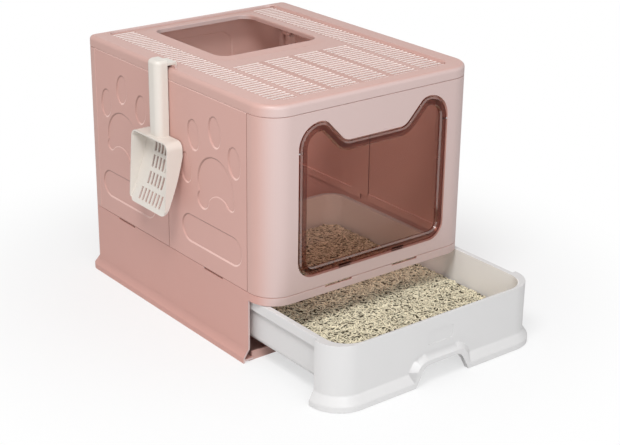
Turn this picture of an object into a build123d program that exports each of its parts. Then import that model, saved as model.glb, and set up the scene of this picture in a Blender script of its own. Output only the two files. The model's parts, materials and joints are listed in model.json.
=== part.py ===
"""Folding covered litter box: base, drawer, hinged walls, flap door, grated lid and hung scoop.

Millimetres. X runs across the front, Y from front to back, Z up, with the origin on the floor
at the centre of the box. The drawer is modelled pulled out, as it stands when it is filled.
"""

import os
from math import radians, tan

from build123d import *

os.makedirs("parts", exist_ok=True)

# Whole box
width = 404.0
depth = 500.0
height = 416.0
skin = 3.0
front_corner = 44.0
rear_corner = 12.0
base_height = 117.0
lid_skirt = 18.0
seam_gap = 0.4
slide_gap = 0.3
overrun = 40.0

# Flared foot under the base skirts and the drawer front
foot_flare = 9.0
foot_lip = 9.0
foot_slope = 13.0

# Base
fascia_return = 48.0
lintel_height = 13.0
floor_plate = 3.0
floor_ledge = 6.0
floor_lip = 14.0
window_length = 52.0
window_drop = 3.0
front_window_share = 0.33
side_window_shares = (0.29, -0.22)

# Tongues of the walls, which slip inside the base below and the lid above
tongue_wall = 2.0
tongue_reach = 8.0
tongue_band = 5.0

# Wall leaves and their corner hinges
front_return = 50.0
rear_return = 22.0
hinge_inset = 9.0
hinge_setback = 6.0
barrel_radius = 5.0
pin_radius = 2.0
pin_fit = 0.06
lug_count = 3
lug_length = 30.0
lug_margin = 7.0
knuckle_gap = 0.4
lug_root = 9.0
lap_reach = 20.0
lap_root = 24.0

# Reliefs pressed into the wall leaves
relief_depth = 1.4
relief_run = 2.4
relief_drop = 1.2
capsule_height = 43.0
capsule_length_share = 0.738
capsule_setback_share = 0.561
capsule_level_share = 0.191
paw_size_share = 0.467
paw_setback_share = 0.617
paw_level_share = 0.523
toe_length_share = 0.46
toe_width_share = 0.28
toe_tilt = 9.0
toe_shares = ((-0.50, 0.48), (0.0, 0.82), (0.57, 0.63), (0.79, 0.05))
pad_arch_shares = ((-0.46, -0.14), (0.0, 0.40), (0.42, -0.24))
pad_lobe_shares = ((0.31, -0.48), (0.19, -0.34))
pad_notch_shares = ((-0.09, -0.18), (-0.34, -0.28))
pad_heel_share = (-0.45, -0.29)
pad_round_share = 0.05

# Doorway and flap
door_side = 56.5
sill_rise = 21.0
ear_margin = 17.0
ear_height = 39.0
ear_slope = 46.0
ear_width = 87.3
sill_radius_share = 0.2
ear_outer_share = 0.78
ear_inner_share = 0.44
jamb_depth = 8.0
flap_gap = 3.0
bead_width = 13.0
bead_depth = 8.0
bead_chamfer = 2.4
pane_thickness = 2.2
flap_axis_drop = 1.8
flap_axis_setback = 1.8
flap_pin_radius = 1.5
flap_pin_length = 20.0
flap_pin_grip = 9.0
boss_height = 14.0
magnet_length = 22.0
magnet_width = 2.8
magnet_height = 2.5
magnet_offset_share = 0.365

# Back panel's pressed field
back_field_side = 116.0
back_field_foot = 32.0
back_field_head = 18.0
back_field_radius = 25.0

# Drawer
drawer_pull = 160.0
drawer_gap = 1.0
drawer_top_gap = 1.0
drawer_foot_gap = 1.0
tray_side_gap = 13.0
tray_bottom = 30.0
tray_rear_gap = 11.0
tray_corner = 30.0
tray_edge_round = 12.0
rim_lip = 6.0
rim_lip_height = 16.0
rim_plate = 3.0
runner_inset = 39.0
runner_width = 8.0
arch_half = 54.0
arch_top_half = 36.0
arch_height = 33.0
arch_radius = 16.0
arch_bead = 16.0
arch_bead_slope = 45.0
label_length = 50.0
label_height = 22.0
label_level = 71.0
label_depth = 0.8
label_radius = 3.0

# Litter
litter_depth = 15.0
litter_mound = 7.0
litter_slope = 80.0

# Lid
lid_round = 7.0
field_side = 32.0
field_front = 26.0
field_rear = 8.0
field_radius = 18.0
field_drop = 4.0
opening_front_share = 0.024
opening_rear_gap = 34.0
opening_radius = 21.0
band_width = 19.0
band_rear = 22.0
band_rise = 2.6
band_lip = 4.0
opening_chamfer = 1.2
collar_drop = 2.0
grille_edge = 3.5
front_grille_gap = 28.5
slot_width = 5.0
slot_pitch = 9.7
slot_end = 2.5
front_columns = 4
column_pitch_share = 0.344
rib_width = 11.0
side_margin = 4.0
ridge_length = 46.0
ridge_width = 4.0
ridge_height = 3.5

# Scoop
scoop_setback = 5.0
scoop_gap = 1.5
scoop_wall = 2.2
blade_width = 104.0
blade_length = 118.0
blade_depth = 27.0
blade_lip = 33.0
blade_drop = 108.0
blade_round = 12.0
blade_knee_share = 0.2
blade_bend_share = 0.6
blade_bend_out_share = 0.4
handle_width = 31.0
handle_depth = 20.0
handle_round = 11.0
handle_cap_round = 6.0
handle_rise = 13.0
hook_plate = 3.5
hook_gap = 1.5
scoop_slot_width = 5.0
scoop_slot_pitch = 9.6
scoop_slot_counts = (5, 5, 5, 7)
scoop_slot_level_shares = (0.20, 0.415, 0.635, 0.86)
scoop_slot_length_share = 0.165

# Places worked out from the sizes above
front_y = -depth / 2
rear_y = depth / 2
side_x = -width / 2
lid_seam = height - lid_skirt
wall_low = base_height + seam_gap
wall_high = lid_seam - seam_gap
front_seam = front_y + front_return
rear_seam = rear_y - rear_return
hinge_x = side_x + hinge_inset
front_hinge_y = front_seam + hinge_setback
rear_hinge_y = rear_seam - hinge_setback
middle_seam = (front_hinge_y + rear_hinge_y) / 2
tongue_outer = skin + seam_gap
tongue_inner = tongue_outer + tongue_wall
skirt_front = front_y + fascia_return
lintel_low = base_height - lintel_height
leaf_length = middle_seam - front_seam
wall_height = wall_high - wall_low
capsule_length = capsule_length_share * leaf_length
capsule_setback = capsule_setback_share * leaf_length
capsule_level = wall_low + capsule_level_share * wall_height
paw_size = paw_size_share * leaf_length
paw_setback = paw_setback_share * leaf_length
paw_level = wall_low + paw_level_share * wall_height
door_half = width / 2 - door_side
door_sill = base_height + sill_rise
door_ear = lid_seam - ear_margin
door_valley = door_ear - ear_height
valley_half = door_half - ear_width
ear_inner = valley_half + ear_height / tan(radians(ear_slope))
ear_top = door_half - ear_inner
magnet_offset = magnet_offset_share * door_half
flap_axis_z = door_valley - flap_gap - flap_axis_drop
flap_axis_y = front_y + flap_axis_setback
flap_front = flap_axis_y - bead_depth / 2
sill_magnet_y = flap_axis_y + skin / 2
drawer_top = lintel_low - drawer_top_gap
tray_half = width / 2 - tray_side_gap
tray_front = front_y - drawer_pull
tray_rear = rear_y - tray_rear_gap - drawer_pull
runner_offset = tray_half - runner_inset
field_half = width / 2 - field_side
column_pitch = column_pitch_share * field_half
front_span = front_columns * column_pitch / 2
side_slot = field_half - side_margin - front_span - rib_width / 2
side_column = front_span + rib_width / 2 + side_slot / 2
opening_half = front_span - band_width
opening_front = opening_front_share * depth
opening_rear = rear_y - opening_rear_gap
field_level = height - field_drop
grille_low = field_level - skin
grille_front = front_y + field_front + grille_edge
grille_rear = rear_y - field_rear - grille_edge
front_grille_rear = opening_front - band_width - front_grille_gap
blade_top = height - blade_drop
handle_top = height + handle_rise
scoop_y = middle_seam + scoop_setback
scoop_back = side_x - scoop_gap


def plan(inset, level, pull=0.0):
    """Plan of the box, drawn in all round by an inset: wide corners in front, tight ones behind."""
    with BuildSketch(Plane.XY.offset(level)) as outline:
        with Locations((0, -pull)):
            Rectangle(width - 2 * inset, depth - 2 * inset)
        fillet(outline.vertices().group_by(Axis.Y)[0], front_corner - inset)
        fillet(outline.vertices().group_by(Axis.Y)[-1], rear_corner - min(inset, rear_corner / 2))
    return outline.sketch


def slab(inset, low, high, pull=0.0, mode=Mode.ADD):
    """Upright slab on the plan of the box."""
    extrude(plan(inset, low, pull), amount=high - low, mode=mode)


def tube(outer, inner, low, high):
    """Upright wall between two insets of the plan."""
    with BuildSketch(Plane.XY.offset(low)) as ring:
        add(plan(outer, 0))
        add(plan(inner, 0), mode=Mode.SUBTRACT)
    extrude(ring.sketch, amount=high - low)


def flared(inset, low, high, pull=0.0, mode=Mode.ADD):
    """Slab on the plan of the box whose foot flares out to an upright lip."""
    slope_low = low + foot_lip
    slope_high = slope_low + foot_slope
    slab(inset - foot_flare, low, slope_low, pull, mode)
    loft([plan(inset - foot_flare, slope_low, pull), plan(inset, slope_high, pull)], mode=mode)
    slab(inset, slope_high, high, pull, mode)


def block(low, high, mode=Mode.ADD):
    """Box between two corners."""
    centre = tuple((a + b) / 2 for a, b in zip(low, high))
    with Locations(centre):
        Box(*[b - a for a, b in zip(low, high)], mode=mode)


def standing_wall():
    """Whole wall ring with the tongues at its foot and its head."""
    tube(0, skin, wall_low, wall_high)
    for band_low, tongue_low in (
        (wall_low, base_height - tongue_reach),
        (wall_high - tongue_band, wall_high - tongue_band),
    ):
        tube(skin, tongue_inner, band_low, band_low + tongue_band)
        tube(tongue_outer, tongue_inner, tongue_low, tongue_low + tongue_band + tongue_reach)


def doorway(inset, plane_y):
    """Two-eared outline of the doorway, drawn in by an inset."""
    sill_radius = sill_radius_share * door_half
    ear_outer_radius = ear_outer_share * ear_top
    ear_inner_radius = ear_inner_share * ear_top
    with BuildSketch(Plane.XZ.offset(-plane_y)) as outline:
        with BuildLine():
            FilletPolyline(
                (-door_half, door_sill),
                (door_half, door_sill),
                (door_half, door_ear),
                (ear_inner, door_ear),
                (valley_half, door_valley),
                (-valley_half, door_valley),
                (-ear_inner, door_ear),
                (-door_half, door_ear),
                radius=(
                    sill_radius,
                    sill_radius,
                    ear_outer_radius,
                    ear_inner_radius,
                    ear_inner_radius,
                    ear_inner_radius,
                    ear_inner_radius,
                    ear_outer_radius,
                ),
                close=True,
            )
        make_face()
        if inset:
            offset(amount=-inset, mode=Mode.REPLACE)
    return outline.sketch


def rod(centre, radius, length, turn, mode=Mode.ADD):
    """Round bar centred on a point and turned from upright."""
    with Locations(centre):
        Cylinder(radius, length, rotation=turn, mode=mode)


def magnet_bars(middle_y, low, mode=Mode.ADD):
    """Pair of catch magnets, or the pockets that hold them."""
    for side in (-1, 1):
        x = side * magnet_offset
        block(
            (x - magnet_length / 2, middle_y - magnet_width / 2, low),
            (x + magnet_length / 2, middle_y + magnet_width / 2, low + magnet_height),
            mode,
        )


def lug_spans():
    """Heights of the panel lugs on one corner hinge, evenly spread up the wall."""
    low = wall_low + lug_margin
    step = (wall_high - lug_margin - lug_length - low) / (lug_count - 1)
    return [(low + i * step, low + i * step + lug_length) for i in range(lug_count)]


def knuckle_spans():
    """Heights of the leaf knuckles, which fill the gaps between the lugs."""
    lugs = lug_spans()
    return [(a[1] + knuckle_gap, b[0] - knuckle_gap) for a, b in zip(lugs, lugs[1:])]


def hinge_piece(hinge_y, away, span, side):
    """Lug or knuckle: a barrel round the corner pin and the root that ties it to a wall."""
    low, high = span
    x = side * hinge_x
    inner_x = side * (hinge_x + barrel_radius)
    root_x = side * (side_x + skin - seam_gap)
    clear_x = side * (hinge_x - barrel_radius)
    root_start = hinge_y + away * (hinge_setback + seam_gap)
    root_end = root_start + away * lug_root
    rod((x, hinge_y, (low + high) / 2), barrel_radius, high - low, (0, 0, 0))
    arm = ((clear_x, inner_x), (hinge_y, root_end))
    root = ((root_x, inner_x), (root_start, root_end))
    for x_pair, y_pair in (arm, root):
        block((min(x_pair), min(y_pair), low), (max(x_pair), max(y_pair), high))


def panel_lugs(hinge_y, away):
    """Lugs of both corner hinges on a fixed panel, bored for the pins and blind at both ends."""
    spans = lug_spans()
    for side in (-1, 1):
        for span in spans:
            hinge_piece(hinge_y, away, span, side)
        bore_low = spans[0][0] + skin
        bore_high = spans[-1][1] - skin
        rod(
            (side * hinge_x, hinge_y, (bore_low + bore_high) / 2),
            pin_radius + pin_fit,
            bore_high - bore_low,
            (0, 0, 0),
            Mode.SUBTRACT,
        )


def side_plane():
    """Outer face of the left wall, seen from outside: local x runs to the front, y up."""
    return Plane(origin=(side_x, 0, 0), x_dir=(0, -1, 0), z_dir=(-1, 0, 0))


def reliefs(towards):
    """Paw print and capsule pressed into a leaf; towards is the way from the leaf to the middle seam."""

    def place(share):
        along, up = share
        return (-(middle_seam + towards * (along * paw_size - paw_setback)), paw_level + up * paw_size)

    arch_start, arch_top, arch_end = [place(share) for share in pad_arch_shares]
    lobe_low, lobe_end = [place(share) for share in pad_lobe_shares]
    notch_top, notch_end = [place(share) for share in pad_notch_shares]
    with BuildSketch(side_plane()) as marks:
        with BuildLine():
            ThreePointArc(arch_start, arch_top, arch_end)
            ThreePointArc(arch_end, lobe_low, lobe_end)
            ThreePointArc(lobe_end, notch_top, notch_end)
            ThreePointArc(notch_end, place(pad_heel_share), arch_start)
        make_face()
        fillet(marks.vertices(), pad_round_share * paw_size)
        toe_half_width = toe_width_share * paw_size / 2
        toe_half_length = toe_length_share * paw_size / 2
        with Locations(*[place(share) for share in toe_shares]):
            Ellipse(toe_half_width, toe_half_length, rotation=towards * toe_tilt)
        with Locations((-(middle_seam - towards * capsule_setback), capsule_level)):
            SlotOverall(capsule_length, capsule_height)
    extrude(marks.sketch, amount=-relief_depth, mode=Mode.SUBTRACT)


def soften(pressed, wires):
    """Sloped edge along the outlines pressed into a face."""
    rims = [edge for wire in wires for edge in wire.edges()]
    chamfer(rims, relief_run, relief_drop, reference=pressed)


def leaf(seam_y, hinge_y, towards):
    """Left wall leaf from its corner seam to the middle seam, with its knuckles round the corner pin."""
    near_y = seam_y + towards * seam_gap
    far_y = middle_seam - towards * seam_gap / 2
    low_y, high_y = sorted((near_y, far_y))
    standing_wall()
    block((side_x - overrun, low_y, 0), (side_x + overrun, high_y, height + overrun), Mode.INTERSECT)
    tongue_start, tongue_end = sorted((hinge_y, near_y - towards * overrun))
    block(
        (side_x + skin, tongue_start, 0),
        (side_x + overrun, tongue_end, height + overrun),
        Mode.SUBTRACT,
    )
    for low, high in knuckle_spans():
        hinge_piece(hinge_y, towards, (low, high), 1)
        rod((hinge_x, hinge_y, (low + high) / 2), pin_radius + pin_fit, high - low, (0, 0, 0), Mode.SUBTRACT)
    reliefs(towards)


def tray_slab(inset, low, high):
    """Round-cornered slab on the plan of the drawer's tray, drawn in by an inset."""
    front = tray_front + skin / 2 + inset
    rear = tray_rear - inset
    with BuildSketch(Plane.XY.offset(low)) as outline:
        with Locations((0, (front + rear) / 2)):
            Rectangle(2 * (tray_half - inset), rear - front)
        fillet(outline.vertices().group_by(Axis.Y)[0], front_corner - skin - inset)
        fillet(outline.vertices().group_by(Axis.Y)[-1], tray_corner - inset)
    extrude(outline.sketch, amount=high - low)


def arch(margin, plane_y):
    """Finger arch at the foot of the drawer front, widened all round by a margin."""
    with BuildSketch(Plane.XZ.offset(-plane_y)) as outline:
        with BuildLine():
            FilletPolyline(
                (-arch_half - margin, -overrun),
                (-arch_half - margin, 0),
                (-arch_top_half - margin, arch_height + margin),
                (arch_top_half + margin, arch_height + margin),
                (arch_half + margin, 0),
                (arch_half + margin, -overrun),
                radius=(arch_radius, arch_radius + margin, arch_radius + margin, arch_radius),
            )
            Line((arch_half + margin, -overrun), (-arch_half - margin, -overrun))
        make_face()
    return outline.sketch


def rounded_slab(low_corner, high_corner, radius, mode=Mode.ADD):
    """Slab between two corners with its upright edges rounded."""
    x_low, y_low, z_low = low_corner
    x_high, y_high, z_high = high_corner
    with BuildSketch(Plane.XY.offset(z_low)) as outline:
        with Locations(((x_low + x_high) / 2, (y_low + y_high) / 2)):
            RectangleRounded(x_high - x_low, y_high - y_low, radius)
    extrude(outline.sketch, amount=z_high - z_low, mode=mode)


def band(reach, rear_reach, level):
    """Outline round the lid's opening, a reach outside it."""
    low_y = opening_front - reach
    high_y = opening_rear + rear_reach
    with BuildSketch(Plane.XY.offset(level)) as outline:
        with Locations((0, (low_y + high_y) / 2)):
            corner = opening_radius + min(reach, rear_reach)
            RectangleRounded(2 * (opening_half + reach), high_y - low_y, corner)
    return outline.sketch


def grille_plate(middle, columns, slot_length, rear, mode=Mode.ADD):
    """Plate of one grille field, or the window it fills."""
    half = (columns - 1) * column_pitch / 2 + slot_length / 2 + slot_end
    block((middle - half, grille_front, grille_low), (middle + half, rear, field_level), mode)


def grille_slots(middle, columns, slot_length, rear):
    """Rows of slots cut through a grille plate, counted from the front."""
    first_row = grille_front + slot_end + slot_width / 2
    rows = int((rear - slot_end - slot_width / 2 - first_row) // slot_pitch) + 1
    with BuildSketch(Plane.XY.offset(field_level)) as slots:
        with Locations((middle, first_row + (rows - 1) * slot_pitch / 2)):
            with GridLocations(column_pitch, slot_pitch, columns, rows):
                Rectangle(slot_length, slot_width)
    extrude(slots.sketch, amount=-skin, mode=Mode.SUBTRACT)


# Base shell
with BuildPart() as base_shell:
    flared(0, 0, base_height)
    flared(skin, 0, base_height, mode=Mode.SUBTRACT)
    with BuildSketch(Plane.XY.offset(floor_plate)):
        add(plan(skin - foot_flare, 0))
        add(plan(skin + floor_ledge, 0), mode=Mode.SUBTRACT)
    extrude(amount=skin)
    block((-width, front_y - overrun, -overrun), (width, skirt_front, lintel_low), Mode.SUBTRACT)
    for side in (-1, 1):
        window_x = side * front_window_share * width / 2
        block(
            (window_x - window_length / 2, front_y - overrun, base_height - window_drop),
            (window_x + window_length / 2, front_y + skin + overrun, base_height + overrun),
            Mode.SUBTRACT,
        )
        for share in side_window_shares:
            window_y = share * depth
            near_x, far_x = sorted((side * (width / 2 - overrun), side * (width / 2 + overrun)))
            block(
                (near_x, window_y - window_length / 2, base_height - window_drop),
                (far_x, window_y + window_length / 2, base_height + overrun),
                Mode.SUBTRACT,
            )
base_shell.part.label = "base_shell"
export_step(base_shell.part, "parts/base_shell.step")

# Floor panel with its front lip and the runner ribs under the drawer
floor_front = skirt_front + skin
lip_span = width / 2 - skin - floor_ledge - slide_gap
with BuildPart() as floor_panel:
    slab(skin + slide_gap, 0, floor_plate)
    block((-width, front_y - overrun, -overrun), (width, floor_front, base_height), Mode.SUBTRACT)
    block((-lip_span, floor_front, 0), (lip_span, floor_front + skin, floor_lip))
    for side in (-1, 1):
        rib_x = side * runner_offset
        block(
            (rib_x - runner_width / 2, floor_front, floor_plate),
            (rib_x + runner_width / 2, rear_y - tray_rear_gap, tray_bottom - slide_gap),
        )
floor_panel.part.label = "floor_panel"
export_step(floor_panel.part, "parts/floor_panel.step")

# Front panel with its doorway, jamb and hinge lugs
with BuildPart() as front_panel:
    standing_wall()
    block((-width, front_y - overrun, 0), (width, front_seam, height + overrun), Mode.INTERSECT)
    for side in (-1, 1):
        window_x = side * front_window_share * width / 2
        block(
            (window_x - window_length / 2, front_y, base_height - tongue_reach - overrun),
            (window_x + window_length / 2, front_y + front_corner, base_height),
            Mode.SUBTRACT,
        )
    extrude(doorway(-skin, front_y), amount=-jamb_depth)
    for side in (-1, 1):
        boss_near, boss_far = sorted((side * (door_half + skin / 2), side * (door_half + flap_pin_length)))
        block(
            (boss_near, front_y + skin / 2, flap_axis_z - boss_height / 2),
            (boss_far, front_y + jamb_depth, flap_axis_z + boss_height / 2),
        )
    extrude(doorway(0, front_y - overrun), amount=-2 * overrun, mode=Mode.SUBTRACT)
    pin_span = 2 * (door_half + flap_pin_length - flap_pin_grip)
    rod((0, flap_axis_y, flap_axis_z), flap_pin_radius, pin_span, (0, 90, 0), Mode.SUBTRACT)
    magnet_bars(sill_magnet_y, door_sill - magnet_height, Mode.SUBTRACT)
    panel_lugs(front_hinge_y, -1)
front_panel.part.label = "front_panel"
export_step(front_panel.part, "parts/front_panel.step")

# Back panel with the shallow field pressed into its inner face
with BuildPart() as back_panel:
    standing_wall()
    block((-width, rear_seam, 0), (width, rear_y + overrun, height + overrun), Mode.INTERSECT)
    panel_lugs(rear_hinge_y, 1)
    with BuildSketch(Plane.XZ.offset(skin - rear_y)):
        field_low = wall_low + back_field_foot
        field_high = wall_high - back_field_head
        with Locations((0, (field_low + field_high) / 2)):
            RectangleRounded(width - 2 * back_field_side, field_high - field_low, back_field_radius)
    extrude(amount=-relief_depth, mode=Mode.SUBTRACT)
    inner_face = back_panel.faces().filter_by(Axis.Y).sort_by(SortBy.AREA)[-2]
    soften(inner_face, [max(inner_face.inner_wires(), key=lambda wire: wire.length)])
back_panel.part.label = "back_panel"
export_step(back_panel.part, "parts/back_panel.step")

# Wall leaves: the rear leaf's flange laps behind the front leaf
with BuildPart() as left_front_leaf:
    leaf(front_seam, front_hinge_y, 1)
    outer_face = left_front_leaf.faces().sort_by(Axis.X)[0]
    soften(outer_face, outer_face.inner_wires())
    block(
        (side_x + skin, middle_seam - lap_reach - 2 * seam_gap, 0),
        (side_x + overrun, middle_seam + overrun, height + overrun),
        Mode.SUBTRACT,
    )
left_front_leaf.part.label = "left_front_leaf"
export_step(left_front_leaf.part, "parts/left_front_leaf.step")

with BuildPart() as left_rear_leaf:
    leaf(rear_seam, rear_hinge_y, -1)
    outer_face = left_rear_leaf.faces().sort_by(Axis.X)[0]
    soften(outer_face, outer_face.inner_wires())
    block(
        (side_x + tongue_outer, middle_seam - lap_reach, wall_low),
        (side_x + tongue_inner, middle_seam + lap_root, wall_high),
    )
    block(
        (side_x + skin, middle_seam + seam_gap / 2, wall_low),
        (side_x + tongue_inner, middle_seam + lap_root, wall_high),
    )
left_rear_leaf.part.label = "left_rear_leaf"
export_step(left_rear_leaf.part, "parts/left_rear_leaf.step")

with BuildPart() as right_front_leaf:
    mirror(left_front_leaf.part, about=Plane.YZ)
right_front_leaf.part.label = "right_front_leaf"
export_step(right_front_leaf.part, "parts/right_front_leaf.step")

with BuildPart() as right_rear_leaf:
    mirror(left_rear_leaf.part, about=Plane.YZ)
right_rear_leaf.part.label = "right_rear_leaf"
export_step(right_rear_leaf.part, "parts/right_rear_leaf.step")

# Upright corner pins of the wall leaves
pin_low = lug_spans()[0][0] + skin
pin_high = lug_spans()[-1][1] - skin
for side_name, side in (("left", 1), ("right", -1)):
    for end_name, pin_y in (("front", front_hinge_y), ("rear", rear_hinge_y)):
        with BuildPart() as hinge_pin:
            rod((side * hinge_x, pin_y, (pin_low + pin_high) / 2), pin_radius, pin_high - pin_low, (0, 0, 0))
        hinge_pin.part.label = f"{side_name}_{end_name}_hinge_pin"
        export_step(hinge_pin.part, f"parts/{side_name}_{end_name}_hinge_pin.step")

# Flap door: a thin pane inside a rounded bead
pane_front = flap_axis_y - pane_thickness / 2
pane_back = flap_axis_y + pane_thickness / 2
flap_back = flap_front + bead_depth
with BuildPart() as flap_door:
    extrude(doorway(flap_gap, flap_front), amount=-bead_depth)
    extrude(doorway(flap_gap + bead_width, flap_front), amount=flap_front - pane_front, mode=Mode.SUBTRACT)
    extrude(doorway(flap_gap + bead_width, flap_back), amount=flap_back - pane_back, mode=Mode.SUBTRACT)
    chamfer(flap_door.faces().sort_by(Axis.Y)[0].edges(), bead_chamfer)
    chamfer(flap_door.faces().sort_by(Axis.Y)[-1].edges(), bead_chamfer)
    for side in (-1, 1):
        bore_length = flap_pin_grip + slide_gap
        bore_place = (side * (door_half - bore_length / 2), flap_axis_y, flap_axis_z)
        rod(bore_place, flap_pin_radius + pin_fit, bore_length, (0, 90, 0), Mode.SUBTRACT)
    magnet_bars(flap_axis_y, door_sill + flap_gap, Mode.SUBTRACT)
flap_door.part.label = "flap_door"
export_step(flap_door.part, "parts/flap_door.step")

# Pins the flap swings on, pressed into the jamb
for side_name, side in (("left", -1), ("right", 1)):
    with BuildPart() as flap_pin:
        pin_x = side * (door_half - flap_pin_grip + flap_pin_length / 2)
        rod((pin_x, flap_axis_y, flap_axis_z), flap_pin_radius, flap_pin_length, (0, 90, 0))
    flap_pin.part.label = f"{side_name}_flap_pin"
    export_step(flap_pin.part, f"parts/{side_name}_flap_pin.step")

# Catch magnets in the flap's lower edge and in the sill under it
with BuildPart() as flap_magnets:
    magnet_bars(flap_axis_y, door_sill + flap_gap)
flap_magnets.part.label = "flap_magnets"
export_step(flap_magnets.part, "parts/flap_magnets.step")

with BuildPart() as sill_magnets:
    magnet_bars(sill_magnet_y, door_sill - magnet_height)
sill_magnets.part.label = "sill_magnets"
export_step(sill_magnets.part, "parts/sill_magnets.step")

# Hollow of the drawer's tray
with BuildPart() as tray_hollow:
    tray_slab(skin, tray_bottom + skin, drawer_top + overrun)
    fillet(tray_hollow.faces().sort_by(Axis.Z)[0].edges(), tray_edge_round - skin)

# Wrapped front of the drawer, with its flared foot, finger arch and blank label field
fascia_rear = skirt_front - drawer_gap - drawer_pull
with BuildPart() as drawer_front:
    flared(0, drawer_foot_gap, drawer_top, drawer_pull)
    flared(skin, drawer_foot_gap, drawer_top, drawer_pull, Mode.SUBTRACT)
    block((-width, tray_front - overrun, 0), (width, fascia_rear, height), Mode.INTERSECT)
    extrude(arch(arch_bead, tray_front), amount=foot_flare, taper=arch_bead_slope)
    block((-width, tray_front - overrun, -2 * overrun), (width, fascia_rear, drawer_foot_gap), Mode.SUBTRACT)
    extrude(arch(0, tray_front - overrun), amount=-2 * overrun, mode=Mode.SUBTRACT)
    with BuildSketch(Plane.XZ.offset(-tray_front)):
        with Locations((0, label_level)):
            RectangleRounded(label_length, label_height, label_radius)
    extrude(amount=-label_depth, mode=Mode.SUBTRACT)

# Litter drawer: tray, wrapped front and rolled rim in one moulding
lip_half = tray_half + rim_lip
with BuildPart() as litter_drawer:
    tray_slab(0, tray_bottom, drawer_top)
    fillet(litter_drawer.faces().sort_by(Axis.Z)[0].edges(), tray_edge_round)
    add(drawer_front.part)
    with BuildSketch(Plane.XY.offset(drawer_top)) as rim:
        with Locations((0, (fascia_rear + tray_rear + rim_lip) / 2)):
            Rectangle(2 * lip_half, tray_rear + rim_lip - fascia_rear)
        fillet(rim.vertices().group_by(Axis.Y)[-1], tray_corner + rim_lip)
    extrude(rim.sketch, amount=-rim_plate)
    with BuildSketch(Plane.XY.offset(drawer_top)) as shoulder:
        add(plan(0, 0, drawer_pull))
        with Locations((0, fascia_rear + depth)):
            Rectangle(2 * width, 2 * depth, mode=Mode.SUBTRACT)
    extrude(shoulder.sketch, amount=-rim_plate)
    with BuildSketch(Plane.XY.offset(drawer_top)) as lip:
        add(rim.sketch_local)
        offset(rim.sketch_local, amount=-skin, mode=Mode.SUBTRACT)
    extrude(lip.sketch, amount=-rim_lip_height)
    add(tray_hollow.part, mode=Mode.SUBTRACT)
litter_drawer.part.label = "litter_drawer"
export_step(litter_drawer.part, "parts/litter_drawer.step")

# Bed of litter, low at the walls and mounded towards the middle
litter_low = tray_bottom + skin + slide_gap
litter_level = litter_low + litter_depth
with BuildPart() as litter_bed:
    tray_slab(skin + slide_gap, litter_low, litter_level)
    chamfer(litter_bed.faces().sort_by(Axis.Z)[0].edges(), tray_edge_round - skin)
    crown = litter_bed.faces().sort_by(Axis.Z)[-1]
    extrude(crown, amount=litter_mound, taper=litter_slope)
litter_bed.part.label = "litter_bed"
export_step(litter_bed.part, "parts/litter_bed.step")

# Lid frame: skirt, rim, recessed field, raised band round the opening and the scoop's ridge
grilles = (
    ("lid_front_grille", 0, front_columns, column_pitch - rib_width, front_grille_rear),
    ("lid_left_grille", -side_column, 1, side_slot, grille_rear),
    ("lid_right_grille", side_column, 1, side_slot, grille_rear),
)
band_level = field_level + band_rise
ridge_x = side_x + lid_round
with BuildPart() as lid_frame:
    slab(0, lid_seam, height)
    fillet(lid_frame.faces().sort_by(Axis.Z)[-1].edges(), lid_round)
    slab(skin, lid_seam, grille_low, mode=Mode.SUBTRACT)
    rounded_slab(
        (-field_half, front_y + field_front, field_level),
        (field_half, rear_y - field_rear, height + overrun),
        field_radius,
        Mode.SUBTRACT,
    )
    loft([band(band_width, band_rear, field_level), band(band_lip, band_lip, band_level)])
    rounded_slab(
        (-opening_half - skin, opening_front - skin, grille_low - collar_drop),
        (opening_half + skin, opening_rear + skin, field_level),
        opening_radius + skin,
    )
    rounded_slab(
        (-opening_half, opening_front, lid_seam),
        (opening_half, opening_rear, height + overrun),
        opening_radius,
        Mode.SUBTRACT,
    )
    tops = lid_frame.faces().filter_by(Axis.Z).sort_by(Axis.Z)[-2:]
    chamfer([edge for top in tops for wire in top.inner_wires() for edge in wire.edges()], opening_chamfer)
    for name, *field in grilles:
        grille_plate(*field, mode=Mode.SUBTRACT)
    block(
        (ridge_x, scoop_y - ridge_length / 2, height - skin),
        (ridge_x + ridge_width, scoop_y + ridge_length / 2, height + ridge_height),
    )
lid_frame.part.label = "lid_frame"
export_step(lid_frame.part, "parts/lid_frame.step")

# Grille fields of the lid
for name, *field in grilles:
    with BuildPart() as lid_grille:
        grille_plate(*field)
        grille_slots(*field)
    lid_grille.part.label = name
    export_step(lid_grille.part, f"parts/{name}.step")

# Hollow of the scoop's blade, open towards the user and past the lip
blade_low = blade_top - blade_length
hollow_top = blade_top - scoop_wall


def blade_back(out):
    """Back of the blade, seen from the side: upright at the top, then curving out to the lip."""
    knee = (scoop_back - out, blade_top - blade_knee_share * blade_length)
    bend = (
        scoop_back - out - blade_bend_out_share * blade_lip,
        blade_top - blade_bend_share * blade_length,
    )
    lip = (scoop_back - out - blade_lip, blade_low)
    Line((scoop_back - out, blade_top), knee)
    ThreePointArc(knee, bend, lip)
    return lip


with BuildPart() as blade_hollow:
    with BuildSketch(Plane.XZ.offset(-scoop_y)) as profile:
        with BuildLine():
            lip = blade_back(scoop_wall)
            Polyline(
                lip,
                (scoop_back - blade_lip - overrun, blade_low - overrun),
                (scoop_back - blade_lip - overrun, blade_top),
                (scoop_back - scoop_wall, blade_top),
            )
        make_face()
    extrude(profile.sketch, amount=blade_width / 2 - scoop_wall, both=True)
    block(
        (scoop_back - blade_lip - 2 * overrun, scoop_y - blade_width, hollow_top),
        (scoop_back, scoop_y + blade_width, blade_top + overrun),
        Mode.SUBTRACT,
    )
    fillet(blade_hollow.edges().filter_by(Axis.X).group_by(Axis.Z)[-1], blade_round - scoop_wall)

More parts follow.
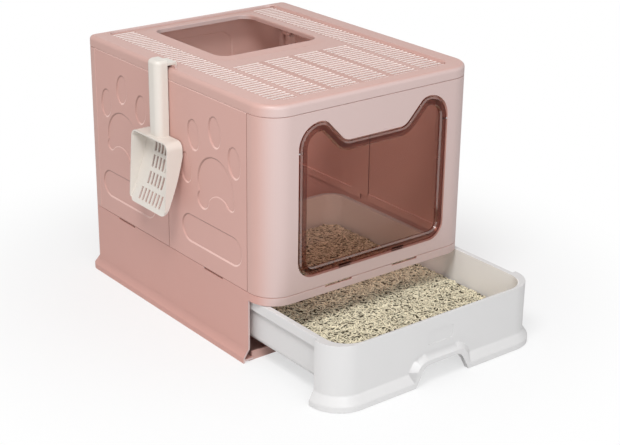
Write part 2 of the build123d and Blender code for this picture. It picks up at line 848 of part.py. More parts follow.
# Scoop: slotted wedge blade, half-round handle and the hook over the lid's ridge
hook_low = height + ridge_height + slide_gap
hook_end = ridge_x + ridge_width + hook_gap
with BuildPart() as scoop:
    with BuildSketch(Plane.XZ.offset(-scoop_y)) as profile:
        with BuildLine():
            lip = blade_back(0)
            Polyline(
                lip,
                (scoop_back - blade_lip - scoop_wall, blade_low),
                (scoop_back - blade_depth, blade_top),
                (scoop_back, blade_top),
            )
        make_face()
    extrude(profile.sketch, amount=blade_width / 2, both=True)
    with BuildSketch(Plane.YZ.offset(scoop_back)) as outline:
        with Locations((scoop_y, (blade_top + blade_low) / 2)):
            RectangleRounded(blade_width, blade_length, blade_round)
    extrude(outline.sketch, amount=-blade_lip - overrun, mode=Mode.INTERSECT)
    add(blade_hollow.part, mode=Mode.SUBTRACT)
    for count, level in zip(scoop_slot_counts, scoop_slot_level_shares):
        slot_half = scoop_slot_length_share * blade_length / 2
        slot_level = blade_top - level * blade_length
        for i in range(count):
            slot_y = scoop_y + (i - (count - 1) / 2) * scoop_slot_pitch
            block(
                (scoop_back - blade_lip - overrun, slot_y - scoop_slot_width / 2, slot_level - slot_half),
                (scoop_back + overrun, slot_y + scoop_slot_width / 2, slot_level + slot_half),
                Mode.SUBTRACT,
            )
    with BuildSketch(Plane.XY.offset(hollow_top)) as section:
        with Locations((scoop_back - handle_depth / 2, scoop_y)):
            Rectangle(handle_depth, handle_width)
        fillet(section.vertices().group_by(Axis.X)[0], handle_round)
    extrude(section.sketch, amount=handle_top - hollow_top)
    fillet(scoop.faces().sort_by(Axis.Z)[-1].edges().sort_by(Axis.X)[:-1], handle_cap_round)
    with BuildSketch(Plane.XY.offset(blade_top)) as bore:
        with Locations((scoop_back - (handle_depth - scoop_wall) / 2, scoop_y)):
            Rectangle(handle_depth - scoop_wall, handle_width - 2 * scoop_wall)
        fillet(bore.vertices().group_by(Axis.X)[0], handle_round - scoop_wall)
    extrude(bore.sketch, amount=handle_top - 2 * scoop_wall - blade_top, mode=Mode.SUBTRACT)
    hook_half = (handle_width - scoop_wall) / 2
    block(
        (scoop_back - handle_depth + handle_round, scoop_y - hook_half, hook_low),
        (hook_end + hook_plate, scoop_y + hook_half, hook_low + hook_plate),
    )
    block(
        (hook_end, scoop_y - hook_half, height + slide_gap),
        (hook_end + hook_plate, scoop_y + hook_half, hook_low + hook_plate),
    )
scoop.part.label = "scoop"
export_step(scoop.part, "parts/scoop.step")
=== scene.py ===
# %% [markdown]
# # A covered litter box
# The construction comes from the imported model: base, drawer, folding walls, flap, lid and scoop.
# This lesson gives those pieces their finishes and their softened edges, fills the drawer with
# pellets, and sets the light and the camera. Sizes are metres. X runs across the front, Y from
# front to back and Z up, and every piece is made where the construction says it belongs.

# %% Load the frame
import json
import math
import random

import bpy
from mathutils import Euler, Matrix, Vector


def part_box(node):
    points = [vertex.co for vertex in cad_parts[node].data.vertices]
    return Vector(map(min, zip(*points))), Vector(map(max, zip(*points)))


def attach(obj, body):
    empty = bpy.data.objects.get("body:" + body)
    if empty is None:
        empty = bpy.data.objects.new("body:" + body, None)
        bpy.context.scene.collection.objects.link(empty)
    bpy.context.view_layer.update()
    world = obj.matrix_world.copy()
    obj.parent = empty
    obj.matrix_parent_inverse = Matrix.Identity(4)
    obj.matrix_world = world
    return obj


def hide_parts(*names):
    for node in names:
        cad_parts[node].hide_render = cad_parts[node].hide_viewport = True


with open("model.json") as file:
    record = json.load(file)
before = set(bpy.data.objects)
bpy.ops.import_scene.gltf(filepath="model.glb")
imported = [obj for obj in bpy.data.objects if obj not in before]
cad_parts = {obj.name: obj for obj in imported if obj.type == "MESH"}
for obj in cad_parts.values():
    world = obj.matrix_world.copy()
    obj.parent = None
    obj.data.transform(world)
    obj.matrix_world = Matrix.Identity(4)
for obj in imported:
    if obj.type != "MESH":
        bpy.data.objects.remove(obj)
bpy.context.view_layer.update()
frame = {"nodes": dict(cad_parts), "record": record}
record = frame["record"]
body_of = {node: body for body, nodes in record["behaviour"]["bodies"].items() for node in nodes}
slot_of = {entry["node"]: entry["material_slot"] for entry in record["subparts"]}

# %% [markdown]
# ## Camera
# The box is seen from its left front corner and from a little above. The turn, rise and roll were
# fitted to straight edges of the box, so the camera is placed by its three axes and not by eye.

# %% Camera
view_turn, view_rise, view_roll = (math.radians(angle) for angle in (-38.25, 22.262, 0.752))
eye = Vector((-1.3379, -1.7903, 1.0302))
lens_mm, sensor_mm = 83.5, 36
sight_limit = 20

back = Vector((
    math.sin(view_turn) * math.cos(view_rise),
    -math.cos(view_turn) * math.cos(view_rise),
    math.sin(view_rise),
))
level_right = Vector((math.cos(view_turn), math.sin(view_turn), 0))
level_up = back.cross(level_right)
right = math.cos(view_roll) * level_right + math.sin(view_roll) * level_up
up = math.cos(view_roll) * level_up - math.sin(view_roll) * level_right

bpy.ops.object.camera_add()
camera = bpy.context.object
camera.name = "camera"
camera.matrix_world = Matrix.Translation(eye) @ Matrix((right, up, back)).transposed().to_4x4()
camera.data.lens = lens_mm
camera.data.sensor_width = sensor_mm
camera.data.clip_end = sight_limit
bpy.context.scene.camera = camera
print("camera at", tuple(round(v, 3) for v in eye))

# %% [markdown]
# ## Wires
# A finish is a small drawing of nodes. Wrapping a socket in a class lets the drawing be written as
# sums and products: `1 - mask` adds a Math node and joins it up. Every other node comes from the
# one method `node`, which takes its type, its settings and what goes into its sockets.

# %% Socket wrapper
class Wire:
    """An output socket in a material; arithmetic on it adds Math nodes."""

    def __init__(self, tree, socket=None):
        self.tree = tree
        self.socket = socket

    def node(self, kind, settings=None, values=None, output=0):
        made = self.tree.nodes.new(kind)
        for name, value in (settings or {}).items():
            setattr(made, name, value)
        for name, value in (values or {}).items():
            if isinstance(value, Wire):
                self.tree.links.new(value.socket, made.inputs[name])
            else:
                made.inputs[name].default_value = value
        return Wire(self.tree, made.outputs[output])

    def math(self, operation, first, second):
        return self.node("ShaderNodeMath", {"operation": operation}, {0: first, 1: second})

    def __add__(self, other):
        return self.math("ADD", self, other)

    def __radd__(self, other):
        return self.math("ADD", other, self)

    def __sub__(self, other):
        return self.math("SUBTRACT", self, other)

    def __rsub__(self, other):
        return self.math("SUBTRACT", other, self)

    def __mul__(self, other):
        return self.math("MULTIPLY", self, other)

    def __rmul__(self, other):
        return self.math("MULTIPLY", other, self)

    def into(self, shader, name):
        self.tree.links.new(self.socket, shader.inputs[name])


print("wire methods:", [name for name in dir(Wire) if not name.startswith("__")])

# %% [markdown]
# A few drawings come back in almost every finish: the place on the object, a cloudy pattern, a
# blend of two colours, an eased step from nothing to all, a bump, and a blend of two shaders.

# %% Drawings that come back
def new_finish(name, **constants):
    """A material with one Principled shader; underscores in a constant's name stand for spaces."""
    material = bpy.data.materials.new(name)
    material.use_nodes = True
    shader = material.node_tree.nodes["Principled BSDF"]
    for socket, value in constants.items():
        shader.inputs[socket.replace("_", " ")].default_value = value
    return material, Wire(material.node_tree), shader


def on_object(wire):
    """The place on the object itself, so a pattern moves along with its piece."""
    return wire.node("ShaderNodeTexCoord", output="Object")


def noise(wire, place, scale, detail=3.0):
    """Cloudy pattern whose patches are about 1 / scale metres across."""
    values = {"Vector": place, "Scale": scale, "Detail": detail}
    return wire.node("ShaderNodeTexNoise", None, values)


def mix(wire, factor, first, second):
    """Blend of two colours, each a triple or a wire."""
    first, second = (end if isinstance(end, Wire) else (*end, 1) for end in (first, second))
    values = {"Factor": factor, 6: first, 7: second}
    return wire.node("ShaderNodeMix", {"data_type": "RGBA"}, values, output=2)


def step(wire, value, start, end, lowest=0.0, ease="SMOOTHSTEP"):
    """Climbs from lowest to 1 while a value goes from start to end."""
    values = {"Value": value, "From Min": start, "From Max": end, "To Min": lowest}
    return wire.node("ShaderNodeMapRange", {"interpolation_type": ease}, values)


def bump(wire, shader, height, strength, distance):
    """Makes a pattern stand out from the surface."""
    values = {"Height": height, "Strength": strength, "Distance": distance}
    wire.node("ShaderNodeBump", None, values).into(shader, "Normal")


def blend_shaders(wire, factor, first, second):
    """Shows a blend of two shaders as the material's surface."""
    blended = wire.node("ShaderNodeMixShader", None, {0: factor, 1: first, 2: second})
    blended.into(wire.tree.nodes["Material Output"], "Surface")


print("drawings: place, noise, mix, step, bump and blend")

# %% [markdown]
# ## Moulded plastic
# The walls, the drawer and the scoop are injection mouldings. Up close such a skin has a fine
# spark-eroded grain that breaks up the gloss, and over a whole wall the colour drifts slightly
# where the melt flowed. One recipe makes them all, each with its own colour, gloss and grain.
# Inside, where the litter has to wipe off, walls and tray are smooth, and they are painted a shade
# paler as painted light for the dim inside.

# %% Plastic recipe
drift_scale, patch_scale, grain_scale = 7, 45, 1400
patch_detail = 4.0
drift_share, grain_share = 0.75, 0.25
patch_dulls, grain_dulls = 0.1, 0.08
grain_strength = 0.35


def plastic(name, deep, pale, gloss, grain_height, turned=(), painted_glow=0.0):
    """Moulded plastic: drifting colour, patchy gloss and a fine grain.

    turned lists further colours of painted light and shade, each with the test that says where a
    surface shows it. There, the last argument is the strength of a painted glow: emission in those
    colours, standing in for light.
    """
    material, wire, shader = new_finish(name, IOR=1.49, Specular_IOR_Level=0.6)
    place = on_object(wire)
    drift = noise(wire, place, drift_scale)
    grain = noise(wire, place, grain_scale)
    patches = noise(wire, place, patch_scale, patch_detail)
    tone = mix(wire, drift * drift_share + grain * grain_share, deep, pale)
    for colour, facing in turned:
        tone = mix(wire, facing(wire), tone, colour)
        # painted glow: the turned colour is also given off as emission
        if painted_glow:
            mix(wire, facing(wire), (0, 0, 0), colour).into(shader, "Emission Color")
            shader.inputs["Emission Strength"].default_value = painted_glow
    tone.into(shader, "Base Color")
    (gloss + patches * patch_dulls + grain * grain_dulls).into(shader, "Roughness")
    bump(wire, shader, grain, grain_strength, grain_height)
    return material


print("grain is about", 1 / grain_scale, "m across, drift", 1 / drift_scale, "m")

# %% Plain plastics
wall_gloss, inner_gloss, drawer_gloss = 0.34, 0.30, 0.28
coarse_grain, middle_grain, fine_grain = 0.00006, 0.00004, 0.00003
rose_deep, rose_pale = (0.565, 0.340, 0.295), (0.605, 0.375, 0.330)
inner_deep, inner_pale = (0.77, 0.49, 0.43), (0.81, 0.525, 0.465)
white_deep, white_pale = (0.66, 0.648, 0.642), (0.70, 0.69, 0.685)
tray_deep, tray_pale = (0.87, 0.85, 0.82), (0.91, 0.89, 0.86)
ivory_deep, ivory_pale = (0.69, 0.635, 0.575), (0.73, 0.685, 0.63)

body_plastic = plastic("body_plastic", rose_deep, rose_pale, wall_gloss, coarse_grain)
# the paler inner colour is painted light for the dim inside of the box
inner_lit_plastic = plastic("inner_lit_plastic", inner_deep, inner_pale, inner_gloss, fine_grain)
drawer_plastic = plastic("drawer_plastic", white_deep, white_pale, drawer_gloss, middle_grain)
# the paler tray colour is painted light for the dim inside of the drawer
tray_lit_plastic = plastic("tray_lit_plastic", tray_deep, tray_pale, drawer_gloss, fine_grain)
scoop_plastic = plastic("scoop_plastic", ivory_deep, ivory_pale, drawer_gloss, middle_grain)
plain = (body_plastic, inner_lit_plastic, drawer_plastic, tray_lit_plastic, scoop_plastic)
print("plain plastics:", [finish.name for finish in plain])

# %% [markdown]
# The base, the front panel and the lid are painted paler and cooler where they face the front: a
# painted sheen that stands in for the whitish reflection of the front light. The walls of the slots
# in the lid's grilles are painted lighter than the face and give off a painted glow, standing in
# for light through the thin bars. The paws are pressed into the leaves; slopes that lean up are
# painted pale as painted highlight and those that lean down dark as painted shade. All use the
# recipe again, with further colours that come in as the surface turns: to the front, upright, up or
# down.

# %% Tests of the way a surface faces
front_start, front_end = -0.25, -0.95
lean_up, lean_back = 0.8, 0.6
lean_start, lean_end = 0.08, 0.6


def towards(wire, axis):
    """How far the surface faces along one axis, from -1 to 1."""
    normal = wire.node("ShaderNodeNewGeometry", output="Normal")
    return wire.node("ShaderNodeSeparateXYZ", None, {0: normal}, output=axis)


def to_the_front(wire):
    return step(wire, towards(wire, "Y"), front_start, front_end)


def upright(wire):
    return 1 - wire.math("ABSOLUTE", towards(wire, "Z"), 0)


def sloped(wire, sign):
    """How far the surface leans up and back, or with a sign of -1 down and forward."""
    lean = towards(wire, "Z") * lean_up + towards(wire, "Y") * lean_back
    return step(wire, lean, sign * lean_start, sign * lean_end, ease="LINEAR")


def slopes_up(wire):
    return sloped(wire, 1)


def slopes_down(wire):
    return sloped(wire, -1)


print("tests:", [test.__name__ for test in (to_the_front, upright, slopes_up, slopes_down)])

# %% Plastics that change with the way a surface faces
# the second number is the strength of the painted glow in the grille slots
bar_gloss, slot_glow_strength = 0.40, 0.10
# the first colour is a painted sheen on faces that look to the front; the second is painted light
# on the walls of the grille slots
sheen_rose, slot_glow_rose = (0.615, 0.465, 0.440), (0.97, 0.88, 0.85)
# painted highlight and painted shade for the slopes of the paws pressed into the leaves
lit_rose, shade_rose = (0.86, 0.62, 0.56), (0.30, 0.16, 0.13)
base_deep, base_pale = (0.565, 0.302, 0.256), (0.605, 0.334, 0.287)
bar_deep, bar_pale = (0.515, 0.295, 0.252), (0.555, 0.330, 0.285)
leaf_deep, leaf_pale = (0.590, 0.335, 0.288), (0.630, 0.369, 0.322)
# these tables paint light and shade: a painted sheen to the front, a painted glow in the slots, and
# painted highlight and shade on the paws' slopes
front_sheen = [(sheen_rose, to_the_front)]
slot_glow_colours = [(slot_glow_rose, upright)]
relief_light_and_shade = [(lit_rose, slopes_up), (shade_rose, slopes_down)]

shell_plastic = plastic("shell_plastic", rose_deep, rose_pale, wall_gloss, coarse_grain, front_sheen)
base_plastic = plastic("base_plastic", base_deep, base_pale, wall_gloss, coarse_grain, front_sheen)
grille_plastic = plastic(
    "grille_plastic", bar_deep, bar_pale, bar_gloss, coarse_grain, slot_glow_colours, slot_glow_strength)
leaf_plastic = plastic("leaf_plastic", leaf_deep, leaf_pale, wall_gloss, coarse_grain, relief_light_and_shade)
turning = (shell_plastic, base_plastic, grille_plastic, leaf_plastic)
print("turning plastics:", [finish.name for finish in turning])

# %% [markdown]
# ## Clear flap
# The flap is see-through plastic with a brown-rose tint: it filters the light that passes, so what
# lies behind keeps its contrast and takes the colour of the filter. Only the skin mirrors, little
# when seen square on and more at a slant. The bead round the pane is much thicker, so it lets
# through only a fraction of what the pane does, and its polished edges mirror the room as lines.

# %% Tinted clear plastic
haze_scale, haze_shine = 60, 0.01
skin_polish, haze_dulls = 0.03, 0.07
slant_shine, slant_power = 0.9, 5
pale_skin, hazy_skin = (0.90, 0.86, 0.84), (0.94, 0.90, 0.88)


def tinted(name, passes, shine, skin_tone=pale_skin):
    """Clear plastic that colours what is seen through it, under a skin that mirrors a little."""
    material, wire, shader = new_finish(name, Metallic=1.0)
    haze = noise(wire, on_object(wire), haze_scale)
    mix(wire, haze, skin_tone, hazy_skin).into(shader, "Base Color")
    (skin_polish + haze * haze_dulls).into(shader, "Roughness")
    slant = wire.node("ShaderNodeLayerWeight", None, {"Blend": 0.5}, output="Facing")
    mirror = shine + haze * haze_shine + slant_shine * wire.math("POWER", slant, slant_power)
    filtered = wire.node("ShaderNodeBsdfTransparent", None, {"Color": (*passes, 1)})
    blend_shaders(wire, mirror, filtered, Wire(wire.tree, shader.outputs[0]))
    return material


pane_shine, bead_shine, edge_shine = 0.008, 0.02, 0.17
clear_tint = tinted("clear_tint", (0.915, 0.795, 0.755), pane_shine)
bead_tint = tinted("bead_tint", (0.56, 0.36, 0.31), bead_shine)
bead_edge = tinted("bead_edge", (0.72, 0.55, 0.50), edge_shine, (0.90, 0.60, 0.52))
print("clear finishes:", clear_tint.name, bead_tint.name, bead_edge.name)

# %% [markdown]
# ## Pins and magnets
# The hinge pins are drawn steel rod, streaked along the drawing direction, so their pattern is
# stretched along Z. The catch magnets are dark sintered bars, dull and slightly speckled.

# %% Metals
streak_scales = (900, 900, 25)
steel_polish, scratch_dulls = 0.22, 0.2
pin_steel, wire, shader = new_finish("pin_steel", Metallic=1.0)
stretched = {"Vector": on_object(wire), "Scale": streak_scales}
scratch = noise(wire, wire.node("ShaderNodeMapping", None, stretched), 1)
mix(wire, scratch, (0.55, 0.55, 0.56), (0.72, 0.72, 0.73)).into(shader, "Base Color")
(steel_polish + scratch * scratch_dulls).into(shader, "Roughness")

speckle_scale = 900
magnet_polish, speckle_dulls = 0.45, 0.2
magnet, wire, shader = new_finish("magnet")
speckle = noise(wire, on_object(wire), speckle_scale)
mix(wire, speckle, (0.018, 0.015, 0.015), (0.05, 0.045, 0.042)).into(shader, "Base Color")
(magnet_polish + speckle * speckle_dulls).into(shader, "Roughness")
print("metals:", pin_steel.name, magnet.name)

# %% [markdown]
# ## Dressing the construction
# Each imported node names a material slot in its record. A table from slot to finish dresses them
# all in one loop, and a second table names the nodes whose plastic changes as it turns. The litter
# has no entry, because pellets take its place below.

# %% Give every node its finish
leaves = ["left_front_leaf", "left_rear_leaf", "right_front_leaf", "right_rear_leaf"]
finish_of_slot = {
    "body_plastic": body_plastic,
    "drawer_plastic": drawer_plastic,
    "scoop_plastic": scoop_plastic,
    "clear_tint": clear_tint,
    "pin_steel": pin_steel,
    "magnet": magnet,
}
finish_of_node = {
    "front_panel": shell_plastic,
    "lid_frame": shell_plastic,
    "base_shell": base_plastic,
    "lid_front_grille": grille_plastic,
    "lid_left_grille": grille_plastic,
    "lid_right_grille": grille_plastic,
    **{name: leaf_plastic for name in leaves},
}
for name, slot in slot_of.items():
    finish = finish_of_node.get(name, finish_of_slot.get(slot))
    if finish:
        frame["nodes"][name].data.materials.clear()
        frame["nodes"][name].data.materials.append(finish)
print("dressed:", len(slot_of), "nodes")

# %% [markdown]
# ## Softened edges
# A mould never gives a knife edge: where two faces meet there is a small round that catches a line
# of light, and along a seam two such rounds make the dark groove that draws the joint. The packed
# solids keep those edges sharp, so a copy is taken, its loose triangles are merged and the flat
# faces cleaned, and only the edges that show are bevelled, chosen by where they lie.

# %% Copy with softened edges
merge_reach, flat_angle = 0.00001, math.radians(0.5)


def take(piece):
    """Makes one object the only selected one, and the active one."""
    bpy.ops.object.select_all(action="DESELECT")
    piece.select_set(True)
    bpy.context.view_layer.objects.active = piece


def finished_copy(node_name):
    """A merged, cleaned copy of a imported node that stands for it."""
    take(frame["nodes"][node_name])
    bpy.ops.object.duplicate()
    piece = bpy.context.object
    piece.name = "finished_" + node_name
    bpy.ops.object.mode_set(mode="EDIT")
    bpy.ops.mesh.select_all(action="SELECT")
    bpy.ops.mesh.remove_doubles(threshold=merge_reach)
    bpy.ops.mesh.dissolve_limited(angle_limit=flat_angle)
    bpy.ops.object.mode_set(mode="OBJECT")
    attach(piece, body_of[node_name])
    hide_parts(node_name)
    return piece


def select_nothing(kind):
    """Clears the selection inside the active object and sets what is picked: edges or faces."""
    bpy.ops.object.mode_set(mode="EDIT")
    bpy.ops.mesh.select_mode(type=kind)
    bpy.ops.mesh.select_all(action="DESELECT")
    bpy.ops.object.mode_set(mode="OBJECT")


def soften(piece, wanted, size, steps=2):
    """Bevels the edges whose two ends both pass a test of their place."""
    take(piece)
    select_nothing("EDGE")
    points = piece.data.vertices
    chosen = 0
    for edge in piece.data.edges:
        edge.select = all(wanted(points[i].co) for i in edge.vertices)
        chosen += edge.select
    bpy.ops.object.mode_set(mode="EDIT")
    bpy.ops.mesh.bevel(offset=size, segments=steps, affect="EDGES", clamp_overlap=True)
    bpy.ops.object.mode_set(mode="OBJECT")
    return chosen


def smooth(piece, degrees):
    """Smooth shading across every edge flatter than an angle."""
    take(piece)
    bpy.ops.object.shade_smooth_by_angle(angle=math.radians(degrees))
    even = piece.modifiers.new("flat faces stay flat", "WEIGHTED_NORMAL")
    even.keep_sharp = True
    bpy.ops.object.modifier_apply(modifier=even.name)


print("soften and smooth are ready; points closer than", merge_reach, "m are merged")

# %% [markdown]
# Edges are chosen by the place of their ends, so two tests of place come next: one for points on
# given levels along an axis, and one that says how far a spot lies inside a rectangle with round
# corners, which is the plan of the box and of the drawer.

# %% Tests of place
near = 0.00005
along_y, along_z = 1, 2


def at_level(axis, *levels):
    """Test for points that lie on one of these levels along an axis."""
    return lambda point: any(abs(point[axis] - level) < near for level in levels)


def inside_rounded(x, y, half_width, half_depth, radius):
    """How far a spot lies inside a round-cornered rectangle about the origin."""
    across = abs(x) - half_width + radius
    along = abs(y) - half_depth + radius
    outside = math.hypot(max(across, 0), max(along, 0)) + min(max(across, along), 0)
    return radius - outside


print("levels count as met within", near, "m")

# %% [markdown]
# ## Seams of the walls
# The walls stand between the base and the lid, and both joints show on the real box as a fine dark
# line. The outer edges on either side of each joint get a small round here, so that the two rounds
# together make the groove. Only points on the outside of the plan are taken. The raised band
# round the lid's opening is rounded too, and faces that look inwards take the smooth finish, whose
# paler tone is painted light for the dim inside.

# %% Where the seams and the band lie
base_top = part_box("base_shell")[1][2]
lid_low, lid_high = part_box("lid_frame")
seam_gap, front_round, rear_round = 0.0004, 0.044, 0.012
half_width, half_depth = lid_high[0], lid_high[1]
skin_reach = 0.0002
band_half, band_front, band_levels = 0.1175, -0.0075, (0.412, 0.4134, 0.4146)
at_seam = at_level(along_z, base_top, base_top + seam_gap, lid_low[2] - seam_gap, lid_low[2])
at_band = at_level(along_z, *band_levels)


def on_seam(point):
    """True at a joint, on the outer face of the box."""
    radius = front_round if point.y < 0 else rear_round
    depth = inside_rounded(point.x, point.y, half_width, half_depth, radius)
    return abs(depth) < skin_reach and at_seam(point)


def on_band(point):
    """True on the raised band round the lid's opening."""
    return abs(point.x) < band_half and point.y > band_front and at_band(point)


print("half width and depth of the box:", half_width, half_depth)

# %% Rounded seam edges and smooth insides
seam_bevel, band_bevel = 0.0009, 0.0011
wall_smooth = 20
inward = -0.1


def line_inside(piece, finish, middle):
    """Gives the faces that look towards the middle of the plan a paler finish: painted light."""
    piece.data.materials.append(finish)
    for face in piece.data.polygons:
        face.material_index = int(face.normal.xy.dot(face.center.xy - middle) < inward)


for name in ["base_shell", "lid_frame", "front_panel", "back_panel"] + leaves:
    piece = finished_copy(name)
    count = soften(piece, on_seam, seam_bevel)
    if name == "lid_frame":
        count += soften(piece, on_band, band_bevel)
    smooth(piece, wall_smooth)
    if name != "lid_frame":
        line_inside(piece, inner_lit_plastic, Vector((0, 0)))
    print(name, "seam edges:", count, "faces:", len(piece.data.polygons))

# %% [markdown]
# ## Drawer
# The drawer front swells into a rounded foot, and its rim is rolled over. The solid draws both
# with flat slopes, so the edges of the foot are rounded generously and the rim's a little. The
# tray's inner walls take the smooth finish, whose paler tone is painted light for the dim inside.

# %% Rounded drawer
foot_low, foot_high = 0.010, 0.023
foot_bevel, foot_steps, rim_bevel = 0.0032, 3, 0.0011
drawer_smooth = 30
drawer = finished_copy("litter_drawer")
drawer_low, drawer_high = (Vector(corner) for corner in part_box("litter_drawer"))
rounded = soften(drawer, at_level(along_z, foot_low, foot_high), foot_bevel, foot_steps)
rounded += soften(drawer, at_level(along_z, drawer_high.z), rim_bevel)
smooth(drawer, drawer_smooth)
line_inside(drawer, tray_lit_plastic, (drawer_low.xy + drawer_high.xy) / 2)
print("drawer edges rounded:", rounded, "faces:", len(drawer.data.polygons))

# %% [markdown]
# ## Flap
# The real flap is one moulding: a pane with a round bead all the way along its two-eared outline.
# The solid has a chamfered bead, so the chamfers' edges are bevelled into a round. The faces are
# then sorted: what lies on the pane's two planes takes the thin tint, the slanted faces of the
# bead take the mirroring one, and all else the dark one.

# %% Rounded flap
bead_chamfer, bead_bevel, bead_smooth = 0.0024, 0.0009, 60
flap = finished_copy("flap_door")
flap_front, flap_back = (corner[along_y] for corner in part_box("flap_door"))
bead_levels = (flap_front, flap_front + bead_chamfer, flap_back - bead_chamfer, flap_back)
rounded = soften(flap, at_level(along_y, *bead_levels), bead_bevel)
smooth(flap, bead_smooth)
print("flap edges rounded:", rounded, "faces:", len(flap.data.polygons))

# %% Sort the flap's faces
pane_half = 0.0011
flap_middle = (flap_front + flap_back) / 2
on_planes = at_level(along_y, flap_middle - pane_half, flap_middle + pane_half)
square_on = 0.9
slant_least, slant_most = 0.3, 0.95
pane_slot, bead_slot, edge_slot = 0, 1, 2
flap.data.materials.append(bead_tint)
flap.data.materials.append(bead_edge)
for face in flap.data.polygons:
    facing = abs(face.normal.y)
    if on_planes(face.center) and facing > square_on:
        face.material_index = pane_slot
    elif slant_least < facing < slant_most:
        face.material_index = edge_slot
    else:
        face.material_index = bead_slot
sorted_faces = [face.material_index for face in flap.data.polygons]
counts = [sorted_faces.count(slot) for slot in (pane_slot, bead_slot, edge_slot)]
print("pane, bead and edge faces:", counts)

# %% [markdown]
# ## Litter
# The litter is pressed plant pellets, each a short rod with blunt ends. One pellet is modelled from
# a six-sided cylinder with blunted ends, and thousands of copies are strewn over the drawer's plan
# with a seeded draw. Each lies at its own turn and tilt, and carries a tone of its own as an
# attribute, which the finish reads. The top of a pellet is painted pale as painted light and its
# flanks dark as painted shade, so each one stands out from the next. A bed underneath, painted dark
# as the shade in the gaps, closes them.

# %% One pellet
pellet_radius, pellet_length, pellet_blunt, pellet_sides = 0.00135, 0.0088, 0.00045, 6
end_on = 0.9
bpy.ops.object.select_all(action="DESELECT")
bpy.ops.mesh.primitive_cylinder_add(
    vertices=pellet_sides, radius=pellet_radius, depth=pellet_length)
pellet = bpy.context.object
select_nothing("FACE")
for face in pellet.data.polygons:
    face.select = abs(face.normal.z) > end_on
bpy.ops.object.mode_set(mode="EDIT")
bpy.ops.mesh.inset(thickness=pellet_blunt)
bpy.ops.object.mode_set(mode="OBJECT")
for point in pellet.data.vertices:
    at_end = abs(abs(point.co.z) - pellet_length / 2) < near
    if at_end and point.co.xy.length > pellet_radius - near:
        point.co.z -= math.copysign(pellet_blunt, point.co.z)
pellet_points = [point.co.copy() for point in pellet.data.vertices]
pellet_faces = [tuple(face.vertices) for face in pellet.data.polygons]
bpy.data.objects.remove(pellet)
print("pellet points:", len(pellet_points), "faces:", len(pellet_faces))

# %% Pellet finish
fibre_scale, fibre_strength, fibre_height = 900, 0.5, 0.0002
flank_level, top_level = 0.15, 0.7
tone_share, top_share, fibre_share = 0.36, 0.56, 0.08
pellet_dull, fibre_dulls = 0.7, 0.2
# the dark end is the pellets' own darker tone and also the painted shade on their flanks
dark_tone_and_shade, straw = (0.04, 0.028, 0.012), (1.0, 0.92, 0.69)

pellet_finish, wire, shader = new_finish("pellet_finish", Specular_IOR_Level=0.3)
tone = wire.node("ShaderNodeAttribute", {"attribute_name": "pellet_tone"}, output="Fac")
fibre = noise(wire, on_object(wire), fibre_scale)
# painted light and shade: a pellet is paler where it faces up and darker on its flanks
painted_top_light = step(wire, towards(wire, "Z"), flank_level, top_level)
paleness = tone * tone_share + painted_top_light * top_share + fibre * fibre_share
mix(wire, paleness, dark_tone_and_shade, straw).into(shader, "Base Color")
(pellet_dull + fibre * fibre_dulls).into(shader, "Roughness")
bump(wire, shader, fibre, fibre_strength, fibre_height)
print("pellets:", pellet_finish.name)

# %% Bed under the pellets, painted dark as the shade in the gaps
crumb_scale, crumb_detail = 260, 4.0
bed_dull, crumb_dulls = 0.8, 0.15
bed_shade_finish, wire, shader = new_finish("bed_shade_finish", Specular_IOR_Level=0.1)
crumbs = noise(wire, on_object(wire), crumb_scale, crumb_detail)
# the bed's dark colour is painted shade for the gaps between pellets
mix(wire, crumbs, (0.05, 0.037, 0.02), (0.20, 0.155, 0.09)).into(shader, "Base Color")
(bed_dull + crumbs * crumb_dulls).into(shader, "Roughness")

bed_spread, bed_drop = 0.996, 0.80
bed = finished_copy("litter_bed")
bed_low, bed_high = (Vector(corner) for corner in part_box("litter_bed"))
bed_foot = ((bed_low.x + bed_high.x) / 2, (bed_low.y + bed_high.y) / 2, bed_low.z)
bpy.ops.object.mode_set(mode="EDIT")
bpy.ops.mesh.select_all(action="SELECT")
bpy.ops.transform.resize(value=(bed_spread, bed_spread, bed_drop), center_override=bed_foot)
bpy.ops.object.mode_set(mode="OBJECT")
bed.data.materials.clear()
bed.data.materials.append(bed_shade_finish)
print("bed from", tuple(bed_low), "to", tuple(bed_high))

# %% Where a pellet may lie
bed_front_radius, bed_rear_radius = 0.0377, 0.0267
bed_middle = (bed_low + bed_high) / 2
bed_half_width, bed_half_depth = (bed_high.x - bed_low.x) / 2, (bed_high.y - bed_low.y) / 2


def wall_distance(x, y):
    """How far a spot lies inside the drawer's round-cornered plan."""
    radius = bed_front_radius if y < bed_middle.y else bed_rear_radius
    across, along = x - bed_middle.x, y - bed_middle.y
    return inside_rounded(across, along, bed_half_width, bed_half_depth, radius)


print("middle of the bed is", wall_distance(bed_middle.x, bed_middle.y), "m from the walls")

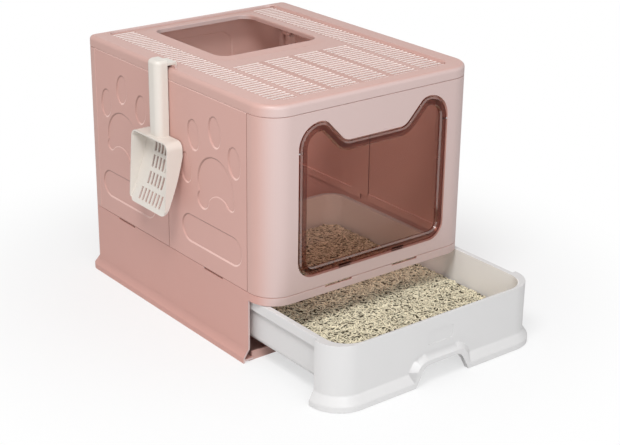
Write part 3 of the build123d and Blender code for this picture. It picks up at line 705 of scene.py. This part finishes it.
# %% Strew the pellets
mound_rise, mound_run = 0.007, 0.0397
tilt_spread = 0.24
shortest, longest = 0.7, 1.1
sink_least, sink_most = 0.0012, 0.0046
wall_room = 2 * pellet_radius
heaps, pellets_per_heap, pellet_smooth = 4, 4200, 50
pellet_seed = 41
draw = random.Random(pellet_seed)
for number in range(heaps):
    points, faces, tones = [], [], []
    while len(faces) < pellets_per_heap * len(pellet_faces):
        x, y = draw.uniform(bed_low.x, bed_high.x), draw.uniform(bed_low.y, bed_high.y)
        lying = math.pi / 2 + draw.gauss(0, tilt_spread)
        turn = Euler((lying, 0, draw.uniform(0, math.tau))).to_matrix()
        stretch = draw.uniform(shortest, longest)
        sink, shade = draw.uniform(sink_least, sink_most), draw.random()
        reach = turn @ Vector((0, 0, stretch * pellet_length / 2))
        ends = [wall_distance(x + s * reach.x, y + s * reach.y) for s in (-1, 0, 1)]
        if min(ends) < wall_room:
            continue
        level = bed_high.z - mound_rise + mound_rise * min(1, ends[1] / mound_run) - sink
        spot = Vector((x, y, level))
        start = len(points)
        for point in pellet_points:
            points.append(spot + turn @ Vector((point.x, point.y, point.z * stretch)))
            tones.append(shade)
        faces.extend(tuple(start + i for i in face) for face in pellet_faces)
    mesh = bpy.data.meshes.new(f"pellets_{number}")
    mesh.from_pydata(points, [], faces)
    mesh.attributes.new("pellet_tone", "FLOAT", "POINT").data.foreach_set("value", tones)
    mesh.materials.append(pellet_finish)
    pellets = bpy.data.objects.new(f"pellets_{number}", mesh)
    bpy.context.collection.objects.link(pellets)
    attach(pellets, "drawer")
    smooth(pellets, pellet_smooth)
print("pellets:", heaps * pellets_per_heap, "top:", max(point.z for point in points))

# %% [markdown]
# ## Stage and light
# A pale floor that turns white away from the box, so the box stands on plain white with its own
# soft shadow. The world is white to the camera, in reflections and through the flap, and a gentle
# fill to everything else. The main soft box hangs high at the left and skims down the wall; with
# the painted highlight and shade on their slopes, it draws the pressed paws as a bright line below
# and a dark one above. A weaker one stands low in front and shines in at the door.

# %% Floor
floor_size, floor_tone, floor_dull = 12, (0.86, 0.86, 0.86, 1), 0.9
fade_start, fade_end, fade_least = 0.3, 0.7, 0.6
bpy.ops.object.select_all(action="DESELECT")
bpy.ops.mesh.primitive_plane_add(size=floor_size)
floor = bpy.context.object
floor.name = "floor"

floor_finish, wire, shader = new_finish("floor_finish", Base_Color=floor_tone, Roughness=floor_dull)
length_of = {0: on_object(wire)}
distance = wire.node("ShaderNodeVectorMath", {"operation": "LENGTH"}, length_of, output="Value")
far = step(wire, distance, fade_start, fade_end, fade_least)
rays = wire.node("ShaderNodeLightPath", output="Is Camera Ray")
white = wire.node("ShaderNodeEmission", None, {"Color": (1, 1, 1, 1), "Strength": 1.0})
blend_shaders(wire, far * rays, Wire(wire.tree, shader.outputs[0]), white)
floor.data.materials.append(floor_finish)
print("floor:", floor_size, "m wide")

# %% World
fill_level = 0.46
world = bpy.data.worlds.new("studio")
bpy.context.scene.world = world
world.use_nodes = True
sky = Wire(world.node_tree)
background = world.node_tree.nodes["Background"]
seen = sky.node("ShaderNodeLightPath", output="Is Camera Ray")
for kind in ("Is Glossy Ray", "Is Transmission Ray"):
    seen = seen + sky.node("ShaderNodeLightPath", output=kind)
clear = sky.node("ShaderNodeClamp", None, {"Value": seen})
(fill_level + clear * (1 - fill_level)).into(background, "Strength")
background.inputs["Color"].default_value = (1, 1, 1, 1)
print("world fill:", fill_level)

# %% Lamps
def lamp(name, place, aim, size, power, colour=(1, 1, 1)):
    """Square soft box that points at a spot on the object."""
    bpy.ops.object.light_add(type="AREA", location=place)
    light = bpy.context.object
    light.name = name
    light.data.size = size
    light.data.energy = power
    light.data.color = colour
    light.rotation_euler = (Vector(aim) - Vector(place)).to_track_quat("-Z", "Y").to_euler()


cool_white = (0.97, 1.0, 1.03)
lamp("high_box", place=(-1.25, -0.95, 2.3), aim=(-0.1, 0, 0.25), size=0.8, power=37)
lamp("front_box", place=(-0.75, -2.2, 1.0), aim=(0, -0.1, 0.25), size=1.0, power=12,
     colour=cool_white)
bpy.context.scene.view_settings.view_transform = "Standard"
